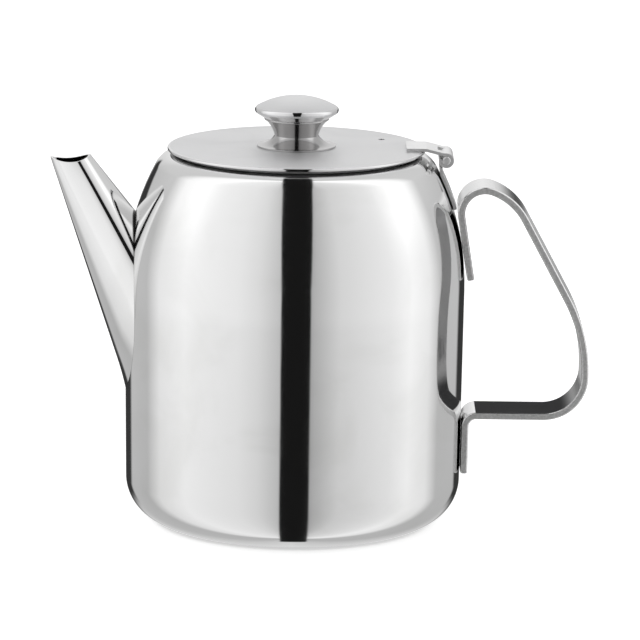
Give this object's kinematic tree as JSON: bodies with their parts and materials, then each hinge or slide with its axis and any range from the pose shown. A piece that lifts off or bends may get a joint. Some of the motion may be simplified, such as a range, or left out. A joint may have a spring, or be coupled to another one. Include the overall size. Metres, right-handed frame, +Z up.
{
  "type": "teapot",
  "caption": "Polished steel teapot: drawn pot with rounded shoulder, welded tapered spout, bent strip handle and a hinged flat lid with a waisted knob.",
  "frame": {"origin": "centre of the flat foot, on the surface the pot stands on", "axes": "+Z up, +X towards the handle, -X towards the spout, Y along the hinge pin"},
  "size_m": [0.1746, 0.11, 0.1391],
  "materials": {
    "mirror_steel": "mirror-polished stainless steel",
    "strip_steel": "polished faces with linished edges",
    "satin_steel": "fine satin",
    "turned_steel": "turned satin with a polished rim",
    "fastener_steel": "bright machined"
  },
  "bodies": {
    "pot": {"pot_body": "mirror_steel", "spout": "mirror_steel", "handle": "strip_steel", "body_hinge_leaf": "strip_steel", "hinge_pin": "strip_steel"},
    "lid_assembly": {"lid": "satin_steel", "lid_seat_ring": "satin_steel", "lid_hinge_leaf": "strip_steel", "knob_cap": "turned_steel", "knob_stem": "turned_steel", "knob_bush": "turned_steel", "knob_screw": "fastener_steel", "knob_washer": "fastener_steel"}
  },
  "joints": [
    {"name": "lid_hinge", "type": "hinge", "parent": "pot", "child": "lid_assembly", "pos_m": [0.04822, 0, 0.11972], "axis": [0, 1, 0], "range_deg": [0, 105]}
  ]
}
